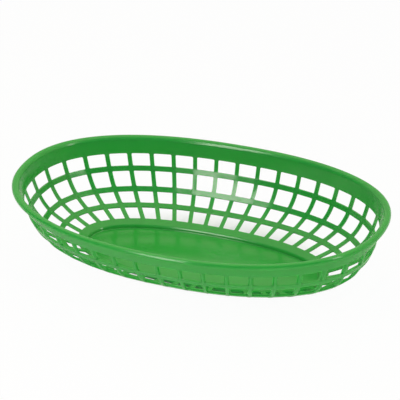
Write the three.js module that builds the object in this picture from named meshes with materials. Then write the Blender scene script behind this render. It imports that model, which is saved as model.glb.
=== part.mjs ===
// Oval fast food basket of green plastic, as its lip, bands, hoops, ribs and floor.
// Millimetres, +Z up. The origin is the middle of the underside, and X runs along the length.
import * as THREE from 'three';

// Plan of the rim
const RIM_LENGTH = 238;
const RIM_WIDTH = 140.3;
const OVAL_EXPONENT = 2.24; // 2 is an ellipse, and more gives a fuller oval

// Rim and floor
const RIM_HEIGHT = 47.4; // mean height of the lip's top
const RIM_SWEEP = 2.7; // how much higher the rim is at the ends than at the sides
const LIP_RADIUS = 2.3; // outside of the roll
const LIP_SKIRT = 0.7; // straight drop at the roll's outer edge
const LIP_ROOT = 1.2; // how far the lip runs on down the wall under its roll
const FLOOR_THICKNESS = 2;
const CURB_STEP = 1.9; // from the floor's top up to the inner edge of the base band
const FOOT_WIDTH = 1.5; // flat ring under the base band

// Line of the wall's inner face, from the roll down to the curb
const WALL_FOOT_INSET = 43.1; // from the rim's edge in to the curb
const UPPER_SLOPE = 74.7; // degrees from level, under the roll
const UPPER_BEND = 26.3; // reach of the upper slope into the bend
const LOWER_SLOPE = 19; // degrees from level, at the curb
const LOWER_BEND = 33.2; // reach of the lower slope into the bend

// Lattice, measured down the wall from the roll
const BAND_HEIGHT = 9.3; // lip's root and upper band together
const BASE_HEIGHT = 6.1;
const HOOP_HEIGHT = 3.4;
const OPENING_HEIGHTS = [7.5, 9.1, 7.7, 8.8]; // top row first, stretched alike to fill the wall
const HOOP_NAMES = ['hoop_upper', 'hoop_middle', 'hoop_lower'];
const HOOP_THICKNESS = 0.9;
const RIB_COUNT = 40;
const RIB_WIDTH = 2.9; // at the inner face
const RIB_CREST_WIDTH = 1.6; // at the outer face
const RIB_CROWN = 0.45; // what is left of a rib where it laps over a hoop
const JOINT_GAP = 0.25; // clearance between neighbouring members

// Facets, and how finely the oval is measured
const STATIONS_PER_RIB = 2;
const ROLL_STEPS = 8;
const RIB_STEPS = 8;
const ARC_STEPS = 2000;
const HALVINGS = 40;

// Glossy plastic
const GREEN = 0x3f9f45;
const ROUGHNESS = 0.3;

const curbHeight = FLOOR_THICKNESS + CURB_STEP;
const notchDepth = HOOP_THICKNESS + JOINT_GAP;
const ribDepth = notchDepth + RIB_CROWN; // also the thickness of the lip and both bands
const upperAngle = THREE.MathUtils.degToRad(UPPER_SLOPE);
const lowerAngle = THREE.MathUtils.degToRad(LOWER_SLOPE);

// The section: x is the inset from the rim's edge, y is the height
const rollCentre = new THREE.Vector2(LIP_RADIUS, RIM_HEIGHT - LIP_RADIUS);
const rollStart = Math.PI / 2 - upperAngle; // where the roll leaves the wall
const wallTop = new THREE.Vector2(
  rollCentre.x + LIP_RADIUS * Math.cos(rollStart),
  rollCentre.y + LIP_RADIUS * Math.sin(rollStart),
);

// The wall's inner face in section
const wallLine = new THREE.CubicBezierCurve(
  wallTop,
  new THREE.Vector2(
    wallTop.x + UPPER_BEND * Math.cos(upperAngle),
    wallTop.y - UPPER_BEND * Math.sin(upperAngle),
  ),
  new THREE.Vector2(
    WALL_FOOT_INSET - LOWER_BEND * Math.cos(lowerAngle),
    curbHeight + LOWER_BEND * Math.sin(lowerAngle),
  ),
  new THREE.Vector2(WALL_FOOT_INSET, curbHeight),
);
const wallLength = wallLine.getLength();
const baseTop = wallLength - BASE_HEIGHT;
const openings = openingRows();
const hoops = openings.slice(1).map((opening, i) => ({ top: openings[i].bottom, bottom: opening.top }));

// Top and bottom of each row of openings, measured down the wall
function openingRows() {
  const hoopTotal = (OPENING_HEIGHTS.length - 1) * HOOP_HEIGHT;
  const openTotal = OPENING_HEIGHTS.reduce((sum, height) => sum + height, 0);
  const stretch = (baseTop - BAND_HEIGHT - hoopTotal) / openTotal;
  let top = BAND_HEIGHT;
  return OPENING_HEIGHTS.map((height) => {
    const row = { top, bottom: top + height * stretch };
    top = row.bottom + HOOP_HEIGHT;
    return row;
  });
}

// A section point that lies a distance down the wall and a distance out from its inner face
function wallPoint(down, out) {
  const share = down / wallLength;
  const face = wallLine.getPointAt(share);
  const along = wallLine.getTangentAt(share);
  return new THREE.Vector2(face.x + along.y * out, face.y - along.x * out);
}

function signedPower(value) {
  return Math.sign(value) * Math.abs(value) ** (2 / OVAL_EXPONENT);
}

// A place round the basket, with its share of the oval's two axes and of the mean height
function placeAt(angle) {
  return {
    angle,
    x: signedPower(Math.cos(angle)),
    y: signedPower(Math.sin(angle)),
    lift: 1 + (RIM_SWEEP / 2 / RIM_HEIGHT) * Math.cos(2 * angle),
  };
}

// The point of the basket at a place, for a section point of inset and height
function basketPoint(place, section) {
  return new THREE.Vector3(
    (RIM_LENGTH / 2 - section.x) * place.x,
    (RIM_WIDTH / 2 - section.x) * place.y,
    section.y * place.lift,
  );
}

// The oval at the lower edge of the upper band, where the ribs are evenly spaced
class BandEdge extends THREE.Curve {
  getPoint(share) {
    return basketPoint(placeAt(2 * Math.PI * share), wallPoint(BAND_HEIGHT, 0));
  }
}

// Places at even steps round the band's edge, the first at the +X end
function evenPlaces(count) {
  const edge = new BandEdge();
  edge.arcLengthDivisions = ARC_STEPS;
  const places = [];
  for (let i = 0; i < count; i++) {
    places.push(placeAt(2 * Math.PI * edge.getUtoTmapping(i / count)));
  }
  return places;
}

const stations = evenPlaces(RIB_COUNT * STATIONS_PER_RIB);

function closedGeometry(points, indices) {
  return new THREE.BufferGeometry().setFromPoints(points).setIndex(indices);
}

// A closed ring: a section, listed down its inner side and up its outer side, carried round the oval
function ringGeometry(section) {
  const size = section.length;
  const points = stations.flatMap((place) => section.map((point) => basketPoint(place, point)));
  const indices = [];
  for (let i = 0; i < stations.length; i++) {
    const here = i * size;
    const next = ((i + 1) % stations.length) * size;
    for (let j = 0; j < size; j++) {
      const k = (j + 1) % size;
      indices.push(here + j, next + j, next + k, here + j, next + k, here + k);
    }
  }
  return closedGeometry(points, indices);
}

// Roll that turns outwards and ends in a short skirt, hollow below, on a root as thick as the band
function rimLip() {
  const skirtEnd = rollCentre.y - LIP_SKIRT;
  const inside = new THREE.Path();
  inside.absarc(rollCentre.x, rollCentre.y, LIP_RADIUS - ribDepth, rollStart, Math.PI, false);
  const outside = new THREE.Path();
  outside.absarc(rollCentre.x, rollCentre.y, LIP_RADIUS, Math.PI, rollStart, true);
  return ringGeometry([
    wallPoint(LIP_ROOT, 0),
    wallPoint(LIP_ROOT, ribDepth),
    ...inside.getPoints(ROLL_STEPS),
    new THREE.Vector2(ribDepth, skirtEnd),
    new THREE.Vector2(0, skirtEnd),
    ...outside.getPoints(ROLL_STEPS),
  ]);
}

function upperBand() {
  const top = LIP_ROOT + JOINT_GAP;
  const middle = (top + BAND_HEIGHT) / 2;
  return ringGeometry([
    wallPoint(top, 0),
    wallPoint(middle, 0),
    wallPoint(BAND_HEIGHT, 0),
    wallPoint(BAND_HEIGHT, ribDepth),
    wallPoint(middle, ribDepth),
    wallPoint(top, ribDepth),
  ]);
}

// Ring that lies flush inside and in the notches of the ribs
function hoop({ top, bottom }) {
  return ringGeometry([
    wallPoint(top, 0),
    wallPoint(bottom, 0),
    wallPoint(bottom, HOOP_THICKNESS),
    wallPoint(top, HOOP_THICKNESS),
  ]);
}

// Sloping band that ends in the curb inside and in a flat ring on the table
function baseBand() {
  return ringGeometry([
    wallPoint(baseTop, 0),
    wallPoint((baseTop + wallLength) / 2, 0),
    wallPoint(wallLength, 0),
    new THREE.Vector2(WALL_FOOT_INSET, 0),
    new THREE.Vector2(WALL_FOOT_INSET - FOOT_WIDTH, 0),
    wallPoint(baseTop, ribDepth),
  ]);
}

// Flat oval plate inside the curb
function floorPlate() {
  const edge = new THREE.Vector2(WALL_FOOT_INSET + JOINT_GAP, 0);
  const outline = new THREE.Shape(stations.map((place) => basketPoint(place, edge)));
  return new THREE.ExtrudeGeometry(outline, { depth: FLOOR_THICKNESS, bevelEnabled: false });
}

// Side view of a rib: x runs down the wall, y out from its inner face, with a notch over each hoop
function ribOutline() {
  const points = [];
  const top = BAND_HEIGHT + JOINT_GAP;
  const bottom = baseTop - JOINT_GAP;
  openings.forEach((opening, i) => {
    const from = opening.top + JOINT_GAP;
    const to = opening.bottom - JOINT_GAP;
    if (i > 0) {
      points.push(new THREE.Vector2(from, notchDepth));
    }
    points.push(new THREE.Vector2(from, 0));
    points.push(new THREE.Vector2((from + to) / 2, 0));
    points.push(new THREE.Vector2(to, 0));
    if (i < hoops.length) {
      points.push(new THREE.Vector2(to, notchDepth));
    }
  });
  for (let i = 0; i <= RIB_STEPS; i++) {
    points.push(new THREE.Vector2(bottom + ((top - bottom) * i) / RIB_STEPS, ribDepth));
  }
  return points;
}

// The place near a rib whose wall, at an inset, lies a distance to the side of the rib's upright plane
function placeBeside(rib, inset, sideways) {
  const halfLength = RIM_LENGTH / 2 - inset;
  const halfWidth = RIM_WIDTH / 2 - inset;
  let low = rib.angle - (2 * Math.PI) / RIB_COUNT;
  let high = rib.angle + (2 * Math.PI) / RIB_COUNT;
  for (let i = 0; i < HALVINGS; i++) {
    const place = placeAt((low + high) / 2);
    const across = halfWidth * (place.y - rib.y) * rib.x - halfLength * (place.x - rib.x) * rib.y;
    if (across < sideways * Math.hypot(rib.x, rib.y)) {
      low = place.angle;
    } else {
      high = place.angle;
    }
  }
  return placeAt((low + high) / 2);
}

// A bar whose side view follows the wall at a place, on both sides of the rib's upright plane
function rib(place) {
  const outline = ribOutline();
  const section = outline.map((point) => wallPoint(point.x, point.y));
  const sidePoints = (side) => section.map((point, i) => {
    const width = THREE.MathUtils.lerp(RIB_WIDTH, RIB_CREST_WIDTH, outline[i].y / ribDepth);
    return basketPoint(placeBeside(place, point.x, (side * width) / 2), point);
  });
  const size = section.length;
  const indices = [];
  for (const [a, b, c] of THREE.ShapeUtils.triangulateShape(section, [])) {
    indices.push(a, c, b, size + a, size + b, size + c);
  }
  for (let i = 0; i < size; i++) {
    const next = (i + 1) % size;
    indices.push(i, size + next, next, i, size + i, size + next);
  }
  return closedGeometry([...sidePoints(-1), ...sidePoints(1)], indices);
}

const basket = new THREE.Group();

function addPart(name, geometry) {
  geometry.computeVertexNormals();
  const material = new THREE.MeshStandardMaterial({ color: GREEN, roughness: ROUGHNESS, metalness: 0 });
  const mesh = new THREE.Mesh(geometry, material);
  mesh.name = name;
  basket.add(mesh);
}

addPart('rim_lip', rimLip());
addPart('upper_band', upperBand());
hoops.forEach((edges, i) => addPart(HOOP_NAMES[i], hoop(edges)));
evenPlaces(RIB_COUNT).forEach((place, i) => {
  const number = String(i + 1).padStart(2, '0');
  addPart(`rib_${number}`, rib(place));
});
addPart('base_band', baseBand());
addPart('floor_plate', floorPlate());

export default basket;
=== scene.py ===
import math

import bpy
import numpy as np
from mathutils import Matrix, Quaternion, Vector


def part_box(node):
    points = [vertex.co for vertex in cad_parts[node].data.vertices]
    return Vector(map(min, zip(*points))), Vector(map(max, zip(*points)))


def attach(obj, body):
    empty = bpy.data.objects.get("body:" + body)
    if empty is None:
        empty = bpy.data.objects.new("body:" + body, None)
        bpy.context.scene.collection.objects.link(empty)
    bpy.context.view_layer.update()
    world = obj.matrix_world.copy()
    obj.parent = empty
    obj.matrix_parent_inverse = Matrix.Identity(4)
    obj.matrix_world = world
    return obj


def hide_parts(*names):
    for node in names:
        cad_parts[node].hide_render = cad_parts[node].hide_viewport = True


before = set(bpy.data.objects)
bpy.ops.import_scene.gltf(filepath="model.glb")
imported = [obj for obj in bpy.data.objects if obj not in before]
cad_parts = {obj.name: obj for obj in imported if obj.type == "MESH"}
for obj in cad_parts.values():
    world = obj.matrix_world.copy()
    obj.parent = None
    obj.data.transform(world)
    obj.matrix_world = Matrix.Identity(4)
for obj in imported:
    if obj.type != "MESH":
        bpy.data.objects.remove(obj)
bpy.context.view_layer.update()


# Floor plate
# The flat oval bottom of the basket, in glossy green polypropylene. It is moulded in one shot with the base
# band round it, and its underside is what the basket stands on.
ROUNDING_ROOM = 0.000001
rim_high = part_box("rim_lip")[1]
half_length = rim_high.x - ROUNDING_ROOM
half_width = rim_high.y - ROUNDING_ROOM
OVAL_EXPONENT = 2.24
OVAL_STEPS = 320
ARC_SAMPLES = 20001
FOOT_INSET = 0.0431
PLATE_LAP = 0.0003
PLATE_BORDER = 0.004

DEEP_GREEN = (0.034, 0.405, 0.054, 1)
DEEP_GREEN_UP_TO = 0.3
FRESH_GREEN = (0.038, 0.43, 0.058, 1)
FRESH_GREEN_FROM = 0.7
SCATTER_SHARE = 0.6
SCATTER_DEPTH = 0.002
SCATTER_BY_COLOUR = (0.35, 1, 0.45)
PLASTIC_IOR = 1.5
SHINY_ROUGHNESS = 0.115
HAZY_ROUGHNESS = 0.16
SKIN_STRENGTH = 0.05
SKIN_DEPTH = 0.0002


def oval(angles):
    """The share of the half length and of the half width at angles round the basket."""
    power = 2 / OVAL_EXPONENT
    x = np.sign(np.cos(angles)) * np.abs(np.cos(angles)) ** power
    y = np.sign(np.sin(angles)) * np.abs(np.sin(angles)) ** power
    return x, y


def even_angles(count, inset):
    """Angles at even steps along the oval that lies this far inside the rim's edge."""
    turn = np.linspace(0, 2 * math.pi, ARC_SAMPLES)
    x, y = oval(turn)
    steps = np.hypot(np.diff((half_length - inset) * x), np.diff((half_width - inset) * y))
    travelled = np.concatenate([[0], np.cumsum(steps)])
    return np.interp(np.arange(count) / count * travelled[-1], travelled, turn)


def start_oval(name, angles, inset, height, fill="NOTHING"):
    """A circle of vertices that is pushed out to the basket's oval, each vertex keeping its angle."""
    bpy.ops.object.select_all(action="DESELECT")
    bpy.ops.mesh.primitive_circle_add(vertices=len(angles), radius=1, fill_type=fill)
    piece = bpy.context.object
    piece.name = name
    x, y = oval(angles)
    for vertex, share_x, share_y in zip(piece.data.vertices, x, y):
        vertex.co = ((half_length - inset) * share_x, (half_width - inset) * share_y, height)
    kept = piece.data.attributes.new("turn", "FLOAT", "POINT")
    kept.data.foreach_set("value", np.asarray(angles, np.float32))
    return piece


def noise(tree, place, scale, detail):
    """A soft noise over a piece, finer with a larger scale."""
    node = tree.nodes.new("ShaderNodeTexNoise")
    node.inputs["Scale"].default_value = scale
    node.inputs["Detail"].default_value = detail
    tree.links.new(place, node.inputs["Vector"])
    return node.outputs["Fac"]


def fade(tree, value, start, end, first=0, last=1):
    """Goes from first to last while a value goes from start to end."""
    node = tree.nodes.new("ShaderNodeMapRange")
    node.inputs["From Min"].default_value = start
    node.inputs["From Max"].default_value = end
    node.inputs["To Min"].default_value = first
    node.inputs["To Max"].default_value = last
    tree.links.new(value, node.inputs["Value"])
    return node.outputs["Result"]


def green_plastic():
    """Glossy polypropylene that lets in a little light, uneven in colour and gloss, with a faint ripple."""
    material = bpy.data.materials.new("green_plastic")
    material.use_nodes = True
    tree = material.node_tree
    shader = tree.nodes["Principled BSDF"]
    shader.inputs["IOR"].default_value = PLASTIC_IOR
    shader.inputs["Subsurface Weight"].default_value = SCATTER_SHARE
    shader.inputs["Subsurface Radius"].default_value = SCATTER_BY_COLOUR
    shader.inputs["Subsurface Scale"].default_value = SCATTER_DEPTH
    place = tree.nodes.new("ShaderNodeTexCoord").outputs["Object"]

    greens = tree.nodes.new("ShaderNodeValToRGB")
    greens.color_ramp.elements[0].position = DEEP_GREEN_UP_TO
    greens.color_ramp.elements[0].color = DEEP_GREEN
    greens.color_ramp.elements[1].position = FRESH_GREEN_FROM
    greens.color_ramp.elements[1].color = FRESH_GREEN
    tree.links.new(noise(tree, place, scale=45, detail=3), greens.inputs["Fac"])
    tree.links.new(greens.outputs["Color"], shader.inputs["Base Color"])

    haze = noise(tree, place, scale=220, detail=4)
    roughness = fade(tree, haze, 0, 1, SHINY_ROUGHNESS, HAZY_ROUGHNESS)
    tree.links.new(roughness, shader.inputs["Roughness"])

    skin = tree.nodes.new("ShaderNodeBump")
    skin.inputs["Strength"].default_value = SKIN_STRENGTH
    skin.inputs["Distance"].default_value = SKIN_DEPTH
    tree.links.new(noise(tree, place, scale=160, detail=2), skin.inputs["Height"])
    tree.links.new(skin.outputs["Normal"], shader.inputs["Normal"])
    return material


plastic = green_plastic()


def set_in_basket(piece, node):
    """Gives a finished member its plastic and sets it in the basket in place of its CAD node."""
    kept = piece.data.attributes.get("turn")
    if kept:
        piece.data.attributes.remove(kept)
    piece.data.materials.clear()
    piece.data.materials.append(plastic)
    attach(piece, "root")
    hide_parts(node)


plate_low, plate_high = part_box("floor_plate")
plate_angles = even_angles(OVAL_STEPS, FOOT_INSET)
floor_plate = start_oval("moulded_floor_plate", plate_angles, FOOT_INSET - PLATE_LAP, plate_low.z, "NGON")
bpy.ops.object.mode_set(mode="EDIT")
bpy.ops.mesh.select_all(action="SELECT")
bpy.ops.mesh.extrude_region_move(TRANSFORM_OT_translate={"value": (0, 0, plate_high.z - plate_low.z)})
bpy.ops.mesh.inset(thickness=PLATE_BORDER)
bpy.ops.mesh.select_all(action="SELECT")
bpy.ops.mesh.normals_make_consistent(inside=False)
bpy.ops.object.mode_set(mode="OBJECT")
set_in_basket(floor_plate, "floor_plate")


# Base band
# The plain sloping band at the foot of the wall. Inside, it ends in a low curb round the floor, and outside
# it runs down to a flat ring on the table. It is part of the same moulding as the floor and the ribs.
RIM_SWEEP = 0.0027
LIP_RADIUS = 0.0023
UPPER_SLOPE = math.radians(74.7)
UPPER_BEND = 0.0263
LOWER_SLOPE = math.radians(19)
LOWER_BEND = 0.0332
WALL_SAMPLES = 2001
RIB_DEPTH = 0.0014
BASE_HEIGHT = 0.0061
BASE_EDGE = 0.0005
FOOT_WIDTH = 0.0015
CURB_STEP = 0.0019
CURB_EDGE = 0.0019
CURB_EDGE_STEPS = 8
CURB_FILLET = 0.0006
CURB_FILLET_STEPS = 4
MERGE_GAP = 0.000001
SHARP_ANGLE = math.radians(40)

rim_height = rim_high.z - RIM_SWEEP / 2
roll_height = rim_height - LIP_RADIUS


def wall_line(steps):
    """The wall's inner face in section, from the roll down to the curb: inset from the rim, and height."""
    t = np.linspace(0, 1, steps)[:, None]
    leave = np.array([math.sin(UPPER_SLOPE), math.cos(UPPER_SLOPE)])
    lip_end = np.array([LIP_RADIUS, roll_height]) + LIP_RADIUS * leave
    curb_end = np.array([FOOT_INSET, plate_high.z + CURB_STEP])
    upper = lip_end + UPPER_BEND * np.array([math.cos(UPPER_SLOPE), -math.sin(UPPER_SLOPE)])
    lower = curb_end + LOWER_BEND * np.array([-math.cos(LOWER_SLOPE), math.sin(LOWER_SLOPE)])
    near_ends = (1 - t) ** 3 * lip_end + t ** 3 * curb_end
    return near_ends + 3 * (1 - t) ** 2 * t * upper + 3 * (1 - t) * t ** 2 * lower


wall = wall_line(WALL_SAMPLES)
wall_down = np.concatenate([[0], np.cumsum(np.hypot(*np.diff(wall, axis=0).T))])
wall_lean = np.gradient(wall, wall_down, axis=0)
wall_length = wall_down[-1]


def wall_point(down, out):
    """Inset and height of a point a way down the wall and a way out from its inner face."""
    inset = np.interp(down, wall_down, wall[:, 0]) + out * np.interp(down, wall_down, wall_lean[:, 1])
    height = np.interp(down, wall_down, wall[:, 1]) - out * np.interp(down, wall_down, wall_lean[:, 0])
    return inset, height


def lift(angles):
    """How much higher the basket stands at an angle than on average: most at its two ends."""
    return 1 + RIM_SWEEP / 2 / rim_height * np.cos(2 * angles)


def ring(name, angles, section):
    """A closed ring, extruded from oval to oval round its section and then swept up at the ends."""
    piece = start_oval(name, angles, *section[0])
    bpy.ops.object.mode_set(mode="EDIT")
    bpy.ops.mesh.select_all(action="SELECT")
    for (inset, height), (next_inset, next_height) in zip(section, section[1:] + section[:1]):
        bpy.ops.mesh.extrude_region_move(TRANSFORM_OT_translate={"value": (0, 0, next_height - height)})
        longer = (half_length - next_inset) / (half_length - inset)
        wider = (half_width - next_inset) / (half_width - inset)
        bpy.ops.transform.resize(value=(longer, wider, 1), center_override=(0, 0, 0))
    bpy.ops.mesh.select_all(action="SELECT")
    bpy.ops.mesh.remove_doubles(threshold=MERGE_GAP)
    bpy.ops.mesh.normals_make_consistent(inside=False)
    bpy.ops.object.mode_set(mode="OBJECT")
    turns = np.zeros(len(piece.data.vertices), np.float32)
    piece.data.attributes["turn"].data.foreach_get("value", turns)
    for vertex, raised in zip(piece.data.vertices, lift(turns)):
        vertex.co.z *= raised
    return piece


def round_edges(piece, radius, segments):
    """Rounds the sharp edges of a member as its mould does, and smooths its shading."""
    bpy.context.view_layer.objects.active = piece
    rounding = piece.modifiers.new("rounding", "BEVEL")
    rounding.width = radius
    rounding.segments = segments
    rounding.limit_method = "ANGLE"
    rounding.angle_limit = SHARP_ANGLE
    bpy.ops.object.modifier_apply(modifier=rounding.name)
    bpy.ops.object.shade_smooth_by_angle(angle=SHARP_ANGLE)
    weighting = piece.modifiers.new("weighting", "WEIGHTED_NORMAL")
    weighting.keep_sharp = True
    bpy.ops.object.modifier_apply(modifier=weighting.name)


base_top = wall_length - BASE_HEIGHT
curb_turn = math.pi / 2 - LOWER_SLOPE
curb_start = wall_length - CURB_EDGE * math.tan(curb_turn / 2)
base_section = [wall_point(down, 0) for down in np.linspace(base_top, curb_start, CURB_EDGE_STEPS + 1)]
edge_inset, edge_height = base_section[-1]
for step in range(1, CURB_EDGE_STEPS + 1):
    turn = LOWER_SLOPE + curb_turn * step / CURB_EDGE_STEPS
    base_section.append((
        edge_inset + CURB_EDGE * (math.sin(turn) - math.sin(LOWER_SLOPE)),
        edge_height + CURB_EDGE * (math.cos(turn) - math.cos(LOWER_SLOPE)),
    ))
for step in range(CURB_FILLET_STEPS + 1):
    turn = math.pi / 2 * step / CURB_FILLET_STEPS
    base_section.append((
        FOOT_INSET + CURB_FILLET * (1 - math.cos(turn)),
        plate_high.z + CURB_FILLET * (1 - math.sin(turn)),
    ))
base_section.append((FOOT_INSET + CURB_FILLET, plate_high.z / 2))
base_section.append((FOOT_INSET, ROUNDING_ROOM))
base_section.append((FOOT_INSET - FOOT_WIDTH, ROUNDING_ROOM))
base_section.append(wall_point(base_top, RIB_DEPTH))
base_band = ring("moulded_base_band", plate_angles, base_section)
round_edges(base_band, BASE_EDGE, segments=4)
set_in_basket(base_band, "base_band")


# Hoops
# Three flat rings of the same plastic that tie the ribs together at three heights. They lie flush with the
# ribs. Inside they run straight from rib to rib, so each bay catches the light by itself, and outside round.
HOOP_NAMES = ("hoop_upper", "hoop_middle", "hoop_lower")
HOOP_HEIGHT = 0.0034
HOOP_THICKNESS = 0.00134
HOOP_EDGE = 0.0002
BAND_HEIGHT = 0.0093
OPENING_HEIGHTS = (0.0075, 0.0091, 0.0077, 0.0088)
RIB_COUNT = 40
RIB_WIDTH = 0.0029
BAY_STEPS = 5
HALVINGS = 40
CLOSE = 0.00001
CREASE_SHARE = 0.001

band_edge_inset = wall_point(BAND_HEIGHT, 0)[0]
rib_angles = even_angles(RIB_COUNT, band_edge_inset)
stretch = (base_top - BAND_HEIGHT - len(HOOP_NAMES) * HOOP_HEIGHT) / sum(OPENING_HEIGHTS)
hoop_tops = []
down = BAND_HEIGHT
for opening in OPENING_HEIGHTS[:-1]:
    hoop_tops.append(down + opening * stretch)
    down = hoop_tops[-1] + HOOP_HEIGHT


def angles_beside(rib_angle, inset, sideways):
    """Angles of points on the ovals at these insets, this far to the side of a rib's upright plane."""
    rib_x, rib_y = oval(rib_angle)
    low = np.full(np.shape(inset), rib_angle - 2 * math.pi / RIB_COUNT)
    high = np.full(np.shape(inset), rib_angle + 2 * math.pi / RIB_COUNT)
    for _ in range(HALVINGS):
        middle = (low + high) / 2
        x, y = oval(middle)
        across = (half_width - inset) * (y - rib_y) * rib_x - (half_length - inset) * (x - rib_x) * rib_y
        short = across < sideways * math.hypot(rib_x, rib_y)
        low = np.where(short, middle, low)
        high = np.where(short, high, middle)
    return (low + high) / 2


def straighten_inside(piece, bay_ends, inner_points):
    """Sets a hoop's inner face on straight lines from rib to rib, and keeps the creases at the ribs sharp."""
    turns = np.zeros(len(piece.data.vertices), np.float32)
    piece.data.attributes["turn"].data.foreach_get("value", turns)
    ends = np.concatenate([bay_ends, [bay_ends[0] + 2 * math.pi]])
    turns = np.where(turns < ends[0] - CLOSE, turns + 2 * math.pi, turns)
    bays = np.clip(np.searchsorted(ends, turns + CLOSE) - 1, 0, len(bay_ends) - 1)
    shares = (turns - ends[bays]) / (ends[bays + 1] - ends[bays])
    at_crease = set()
    for number, vertex in enumerate(piece.data.vertices):
        x, y = oval(turns[number])
        inset = half_length - vertex.co.x / x if abs(x) > abs(y) else half_width - vertex.co.y / y
        height = vertex.co.z / lift(turns[number])
        if min(math.hypot(inset - point[0], height - point[1]) for point in inner_points) > CLOSE:
            continue
        bay = ends[bays[number]:bays[number] + 2]
        x, y = oval(bay)
        corners = np.stack([(half_length - inset) * x, (half_width - inset) * y, height * lift(bay)], axis=1)
        vertex.co = corners[0] + (corners[1] - corners[0]) * shares[number]
        if abs(shares[number]) < CREASE_SHARE:
            at_crease.add(number)
    for edge in piece.data.edges:
        first, second = edge.vertices
        if first in at_crease and second in at_crease and abs(turns[first] - turns[second]) < CLOSE:
            edge.use_edge_sharp = True


for hoop_name, hoop_top in zip(HOOP_NAMES, hoop_tops):
    hoop_bottom = hoop_top + HOOP_HEIGHT
    hoop_inset = wall_point((hoop_top + hoop_bottom) / 2, 0)[0]
    bay_ends = []
    for rib_angle in rib_angles:
        for side in (-RIB_WIDTH / 2, RIB_WIDTH / 2):
            bay_ends.append(float(angles_beside(rib_angle, hoop_inset, side)))
    bay_ends = np.array(bay_ends)
    bay_spans = np.diff(np.concatenate([bay_ends, [bay_ends[0] + 2 * math.pi]]))
    hoop_angles = (bay_ends[:, None] + bay_spans[:, None] * np.arange(BAY_STEPS) / BAY_STEPS).ravel()
    hoop_section = [
        wall_point(hoop_top, 0),
        wall_point(hoop_bottom, 0),
        wall_point(hoop_bottom, HOOP_THICKNESS),
        wall_point(hoop_top, HOOP_THICKNESS),
    ]
    hoop = ring("moulded_" + hoop_name, hoop_angles, hoop_section)
    straighten_inside(hoop, bay_ends, hoop_section[:2])
    round_edges(hoop, HOOP_EDGE, segments=3)
    set_in_basket(hoop, hoop_name)


# Ribs
# The upright bars of the wall, moulded between the upper band and the base band. They are flush with the
# hoops, narrower and rounded outside so that the mould lets go, and widen a little into each crossing.
RIB_CREST_WIDTH = 0.0015
RIB_SINK = 0.00004
RIB_LAP = 0.0008
RIB_EDGE = 0.0002
RIB_STEP = 0.0012
CREST_EDGE = 0.0004
CORNER_RADIUS = 0.0006
CORNER_CUTS = (0, 0.08, 0.25, 0.5, 1)
MICRON_DIGITS = 6

opening_edges = [BAND_HEIGHT, base_top]
for top in hoop_tops:
    opening_edges += [top, top + HOOP_HEIGHT]


def corner_flare(down):
    """How much a rib widens on each side, near the corners of the openings."""
    gap = min(abs(down - edge) for edge in opening_edges)
    crossing = down < BAND_HEIGHT or down > base_top
    crossing = crossing or any(top <= down <= top + HOOP_HEIGHT for top in hoop_tops)
    if crossing:
        return CORNER_RADIUS
    if gap >= CORNER_RADIUS:
        return 0
    return CORNER_RADIUS - math.sqrt(CORNER_RADIUS ** 2 - (CORNER_RADIUS - gap) ** 2)


def rib_cuts():
    """Places down a rib where its bar is cut across: even steps, and finer ones at the openings' corners."""
    cuts = list(np.arange(BAND_HEIGHT + RIB_STEP, base_top, RIB_STEP))
    for edge in opening_edges:
        for share in CORNER_CUTS:
            cuts += [edge - share * CORNER_RADIUS, edge + share * CORNER_RADIUS]
    return sorted(set(round(cut, MICRON_DIGITS) for cut in cuts))


bpy.ops.object.select_all(action="DESELECT")
bpy.ops.mesh.primitive_cube_add(size=1)
rib_bar = bpy.context.object
rib_top = BAND_HEIGHT - RIB_LAP
rib_bottom = base_top + RIB_LAP
rib_bar.data.transform(Matrix.Diagonal((rib_bottom - rib_top, RIB_WIDTH, RIB_DEPTH - RIB_SINK, 1)))
rib_bar.data.transform(Matrix.Translation(((rib_top + rib_bottom) / 2, 0, (RIB_DEPTH + RIB_SINK) / 2)))
bpy.ops.object.mode_set(mode="EDIT")
bpy.ops.mesh.select_mode(type="EDGE")
bpy.ops.mesh.select_all(action="DESELECT")
bpy.ops.object.mode_set(mode="OBJECT")
for edge in rib_bar.data.edges:
    first, second = (rib_bar.data.vertices[end].co for end in edge.vertices)
    on_crest = min(first.z, second.z) > RIB_DEPTH / 2
    edge.select = on_crest and first.y * second.y > 0
bpy.ops.object.mode_set(mode="EDIT")
bpy.ops.mesh.bevel(offset=CREST_EDGE, segments=4)
bpy.ops.mesh.select_mode(type="VERT")
for cut in rib_cuts():
    bpy.ops.mesh.select_all(action="SELECT")
    bpy.ops.mesh.bisect(plane_co=(cut, 0, 0), plane_no=(1, 0, 0))
bpy.ops.object.mode_set(mode="OBJECT")
for vertex in rib_bar.data.vertices:
    taper = 1 + (RIB_CREST_WIDTH / RIB_WIDTH - 1) * vertex.co.z / RIB_DEPTH
    vertex.co.y = taper * vertex.co.y + math.copysign(corner_flare(vertex.co.x), vertex.co.y)


def lay_on_wall(piece, rib_angle):
    """Bends a rib's straight bar to the wall at its place."""
    flat = np.array([vertex.co for vertex in piece.data.vertices])
    inset, height = wall_point(flat[:, 0], flat[:, 2])
    sides = []
    for sideways in (-RIB_WIDTH / 2, RIB_WIDTH / 2):
        angles = angles_beside(rib_angle, inset, sideways)
        x, y = oval(angles)
        points = ((half_length - inset) * x, (half_width - inset) * y, height * lift(angles))
        sides.append(np.stack(points, axis=1))
    share = flat[:, 1:2] / RIB_WIDTH + 0.5
    laid = sides[0] + (sides[1] - sides[0]) * share
    piece.data.vertices.foreach_set("co", laid.astype(np.float32).ravel())
    piece.data.update()


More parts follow.
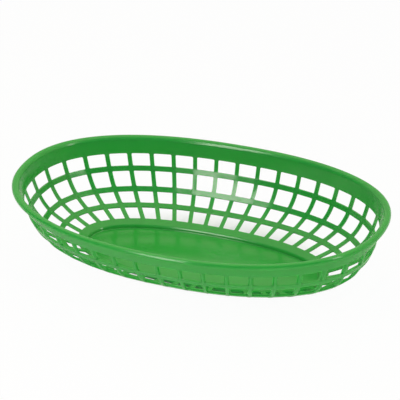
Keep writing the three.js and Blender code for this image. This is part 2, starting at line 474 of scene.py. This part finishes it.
for number, rib_angle in enumerate(rib_angles, start=1):
    rib = bpy.data.objects.new(f"moulded_rib_{number:02d}", rib_bar.data.copy())
    bpy.context.collection.objects.link(rib)
    bpy.ops.object.select_all(action="DESELECT")
    rib.select_set(True)
    lay_on_wall(rib, rib_angle)
    round_edges(rib, RIB_EDGE, segments=2)
    set_in_basket(rib, f"rib_{number:02d}")
bpy.data.objects.remove(rib_bar)


# Upper band
# The plain band under the lip that closes the lattice at the top. It is as thick as the ribs are deep, so
# the ribs run into it without a step outside.
LIP_ROOT = 0.0012
BAND_TUCK = 0.0008
BAND_SINK = 0.00002
BAND_EDGE = 0.0003
BAND_LEVELS = 7

band_angles = even_angles(OVAL_STEPS, band_edge_inset)
band_levels = np.linspace(LIP_ROOT - BAND_TUCK, BAND_HEIGHT, BAND_LEVELS)
band_section = [wall_point(level, BAND_SINK) for level in band_levels]
band_section += [wall_point(level, RIB_DEPTH - BAND_SINK) for level in band_levels[::-1]]
upper_band = ring("moulded_upper_band", band_angles, band_section)
round_edges(upper_band, BAND_EDGE, segments=3)
set_in_basket(upper_band, "upper_band")


# Rim lip
# The roll round the mouth that stiffens the rim and gives the fingers a hold. The wall turns outwards over
# it into a short skirt, tighter outside than inside, hollow below. The upper band is tucked into its root.
OUTER_RADIUS = 0.0018
LIP_SKIRT = 0.0007
SKIRT_EDGE = 0.0006
ROLL_STEPS = 14

roll_end = math.pi / 2 - UPPER_SLOPE
reach_in = (wall[0][0] - OUTER_RADIUS) * math.sin(UPPER_SLOPE)
reach_down = (rim_height - wall[0][1]) * math.cos(UPPER_SLOPE)
inner_radius = (reach_in - reach_down) / (1 - math.cos(UPPER_SLOPE))


def roll_arc(radius, middle_inset, middle_height, first_turn, last_turn):
    """Points of the lip's section along one arc of its roll."""
    turns = [first_turn + (last_turn - first_turn) * step / ROLL_STEPS for step in range(ROLL_STEPS + 1)]
    insets = [middle_inset + radius * math.cos(turn) for turn in turns]
    heights = [middle_height + radius * math.sin(turn) for turn in turns]
    return list(zip(insets, heights))


lip_section = [wall_point(LIP_ROOT, RIB_DEPTH)]
lip_section += roll_arc(LIP_RADIUS - RIB_DEPTH, LIP_RADIUS, roll_height, roll_end, math.pi)
lip_section.append((RIB_DEPTH, roll_height - LIP_SKIRT))
lip_section.append((0, roll_height - LIP_SKIRT))
lip_section += roll_arc(OUTER_RADIUS, OUTER_RADIUS, rim_height - OUTER_RADIUS, math.pi, math.pi / 2)
lip_section += roll_arc(inner_radius, OUTER_RADIUS, rim_height - inner_radius, math.pi / 2, roll_end)
lip_section.append(wall_point(LIP_ROOT, 0))
rim_lip = ring("moulded_rim_lip", band_angles, lip_section)
round_edges(rim_lip, SKIRT_EDGE, segments=4)
set_in_basket(rim_lip, "rim_lip")


# Studio floor
# A wide pale sheet that the basket stands on. It shows white to the camera, and its far part does so in
# reflections. Under the basket the glow fades out over an oval, a painted shadow, and there the matt paint
# shows the basket's rendered shadow as well.
FLOOR_SIZE = 30
FLOOR_DROP = 0.0002
FLOOR_WHITE = (0.95, 0.95, 0.95, 1)
FLOOR_GLOW = 0.95
MIRRORED_FROM = 0.08
MIRRORED_FULL = 0.3
# Where the painted shadow oval lies, its size, and where its glow fade starts and ends.
SHADOW_MIDDLE = (0, 0.012, 0)
SHADOW_OVAL = (0.1, 0.056, 1)
SHADOW_CORE = 0.22
SHADOW_END = 0.82


def combine(tree, operation, first, second):
    """The result of a math operation on two values."""
    node = tree.nodes.new("ShaderNodeMath")
    node.operation = operation
    tree.links.new(first, node.inputs[0])
    tree.links.new(second, node.inputs[1])
    return node.outputs["Value"]


bpy.ops.object.select_all(action="DESELECT")
bpy.ops.mesh.primitive_plane_add(size=FLOOR_SIZE, location=(0, 0, -FLOOR_DROP))
studio_floor = bpy.context.object
studio_floor.name = "studio_floor"
floor_paint = bpy.data.materials.new("floor_paint")
floor_paint.use_nodes = True
paint = floor_paint.node_tree
paint.nodes.remove(paint.nodes["Principled BSDF"])
matt = paint.nodes.new("ShaderNodeBsdfDiffuse")
matt.inputs["Color"].default_value = FLOOR_WHITE
glow = paint.nodes.new("ShaderNodeEmission")
glow.inputs["Strength"].default_value = 1
ray = paint.nodes.new("ShaderNodeLightPath")
spot = paint.nodes.new("ShaderNodeTexCoord")

along = paint.nodes.new("ShaderNodeSeparateXYZ")
paint.links.new(spot.outputs["Object"], along.inputs["Vector"])
far_part = fade(paint, along.outputs["Y"], MIRRORED_FROM, MIRRORED_FULL)
mirrored = combine(paint, "MULTIPLY", ray.outputs["Is Glossy Ray"], far_part)

# The glow fades out over this oval round the basket: a painted shadow, under which the rendered shadow shows.
shadow = paint.nodes.new("ShaderNodeMapping")
shadow.vector_type = "TEXTURE"
shadow.inputs["Location"].default_value = SHADOW_MIDDLE
shadow.inputs["Scale"].default_value = SHADOW_OVAL
paint.links.new(spot.outputs["Object"], shadow.inputs["Vector"])
from_middle = paint.nodes.new("ShaderNodeVectorMath")
from_middle.operation = "LENGTH"
paint.links.new(shadow.outputs["Vector"], from_middle.inputs[0])
unshaded = fade(paint, from_middle.outputs["Value"], SHADOW_CORE, SHADOW_END)
direct = combine(paint, "MULTIPLY", ray.outputs["Is Camera Ray"], unshaded)

seen = combine(paint, "MAXIMUM", direct, mirrored)
seen = combine(paint, "MAXIMUM", seen, ray.outputs["Is Transmission Ray"])
blend = paint.nodes.new("ShaderNodeMixShader")
paint.links.new(fade(paint, seen, 0, 1, 0, FLOOR_GLOW), blend.inputs["Fac"])
paint.links.new(matt.outputs["BSDF"], blend.inputs[1])
paint.links.new(glow.outputs["Emission"], blend.inputs[2])
paint.links.new(blend.outputs["Shader"], paint.nodes["Material Output"].inputs["Surface"])
studio_floor.data.materials.append(floor_paint)


# Camera
# Stands where the photograph was taken from, with the long lens that the basket's shape gives it, and turned
# a little about its line of sight as the photograph is.
FRAME_PIXELS = 400
FOCAL_PIXELS = 1981.9
VIEW_AZIMUTH = math.radians(24.322)
VIEW_ELEVATION = math.radians(30.379)
VIEW_ROLL = math.radians(-2.754)
VIEW_DISTANCE = 1.1978
VIEW_TARGET = Vector((0, 0, 0.044))
VIEW_RIGHT = 0.001239
VIEW_UP = 0.000161
NEAR_CLIP = 0.01


def toward(azimuth, elevation):
    """The direction from the basket to something that stands at an azimuth and an elevation."""
    level = math.cos(elevation)
    return Vector((math.sin(azimuth) * level, -math.cos(azimuth) * level, math.sin(elevation)))


back = toward(VIEW_AZIMUTH, VIEW_ELEVATION)
level_right = Vector((math.cos(VIEW_AZIMUTH), math.sin(VIEW_AZIMUTH), 0))
level_up = back.cross(level_right)
right = math.cos(VIEW_ROLL) * level_right + math.sin(VIEW_ROLL) * level_up
up = math.cos(VIEW_ROLL) * level_up - math.sin(VIEW_ROLL) * level_right
camera_data = bpy.data.cameras.new("camera")
camera = bpy.data.objects.new("camera", camera_data)
bpy.context.collection.objects.link(camera)
camera_data.lens = FOCAL_PIXELS / FRAME_PIXELS * camera_data.sensor_width
camera_data.clip_start = NEAR_CLIP
camera.matrix_world = Matrix.Translation(
    VIEW_TARGET + VIEW_DISTANCE * back + VIEW_RIGHT * right + VIEW_UP * up
) @ Matrix((right, up, back)).transposed().to_4x4()
bpy.context.scene.camera = camera


# Studio light
# A tall soft box on the left, a dimmer one on the right and a faint card on the table light the basket. The
# room is pale above and behind it and dark in front, and the camera sees plain white in its place.
LAMP_DISTANCE = 0.9
WARM_WHITE = (1, 0.97, 0.9)
CARD_DISTANCE = 0.12
CARD_LIFT = 0.002
ROOM_LIGHT = 1
ROOM_FRONT = (-0.12, -0.99, 0)
DARK_FRONT = (0.05, 0.07, 0.2, 1)
DARK_FROM = 0.35
PALE_BACK = (1, 0.98, 0.76, 1)
PALE_FROM = -0.1
WALL_SHARE = 0.74
CEILING_SHARE = 1.15
CEILING_FROM = 0.45
BACKDROP_WHITE = (1, 1, 1, 1)


def soft_lamp(name, width, height, power):
    """A soft rectangular lamp that the camera doesn't see."""
    lamp_data = bpy.data.lights.new(name, "AREA")
    lamp_data.shape = "RECTANGLE"
    lamp_data.size = width
    lamp_data.size_y = height
    lamp_data.energy = power
    lamp_data.color = WARM_WHITE
    lamp = bpy.data.objects.new(name, lamp_data)
    bpy.context.collection.objects.link(lamp)
    lamp.visible_camera = False
    return lamp


def stand_round(lamp, azimuth, elevation, lean):
    """Stands a lamp round the basket at these degrees, facing it and leaning to one side."""
    direction = toward(math.radians(azimuth), math.radians(elevation))
    lamp.location = LAMP_DISTANCE * direction
    leaning = Quaternion((0, 0, 1), math.radians(lean))
    lamp.rotation_euler = (direction.to_track_quat("Z", "Y") @ leaning).to_euler()


key = soft_lamp("key_soft_box", width=0.145, height=0.95, power=3.4)
stand_round(key, azimuth=-25, elevation=40, lean=20)
fill = soft_lamp("fill_soft_box", width=0.12, height=0.8, power=1.3)
stand_round(fill, azimuth=71, elevation=38, lean=-12)
table_card = soft_lamp("table_card", width=0.36, height=0.12, power=0.03)
table_card.location = CARD_DISTANCE * toward(VIEW_AZIMUTH, 0) + Vector((0, 0, CARD_LIFT))
table_card.rotation_euler = (math.pi, 0, VIEW_AZIMUTH)
table_card.visible_glossy = False

room = bpy.data.worlds.new("room")
room.use_nodes = True
bpy.context.scene.world = room
room_tree = room.node_tree
outlook = room_tree.nodes.new("ShaderNodeTexCoord").outputs["Generated"]
frontward = room_tree.nodes.new("ShaderNodeVectorMath")
frontward.operation = "DOT_PRODUCT"
frontward.inputs[1].default_value = ROOM_FRONT
room_tree.links.new(outlook, frontward.inputs[0])
walls = room_tree.nodes.new("ShaderNodeValToRGB")
walls.color_ramp.elements[0].color = DARK_FRONT
walls.color_ramp.elements[1].color = PALE_BACK
paleness = fade(room_tree, frontward.outputs["Value"], DARK_FROM, PALE_FROM)
room_tree.links.new(paleness, walls.inputs["Fac"])
upward = room_tree.nodes.new("ShaderNodeSeparateXYZ")
room_tree.links.new(outlook, upward.inputs["Vector"])
brightness = fade(room_tree, upward.outputs["Z"], CEILING_FROM, 1, WALL_SHARE, CEILING_SHARE)
dimmed = room_tree.nodes.new("ShaderNodeVectorMath")
dimmed.operation = "SCALE"
room_tree.links.new(walls.outputs["Color"], dimmed.inputs[0])
room_tree.links.new(brightness, dimmed.inputs["Scale"])
daylight = room_tree.nodes["Background"]
daylight.inputs["Strength"].default_value = ROOM_LIGHT
room_tree.links.new(dimmed.outputs["Vector"], daylight.inputs["Color"])

backdrop = room_tree.nodes.new("ShaderNodeBackground")
backdrop.inputs["Color"].default_value = BACKDROP_WHITE
look = room_tree.nodes.new("ShaderNodeLightPath")
view = room_tree.nodes.new("ShaderNodeMixShader")
room_tree.links.new(look.outputs["Is Camera Ray"], view.inputs["Fac"])
room_tree.links.new(daylight.outputs["Background"], view.inputs[1])
room_tree.links.new(backdrop.outputs["Background"], view.inputs[2])
room_tree.links.new(view.outputs["Shader"], room_tree.nodes["World Output"].inputs["Surface"])

bpy.context.scene.view_settings.view_transform = "Standard"
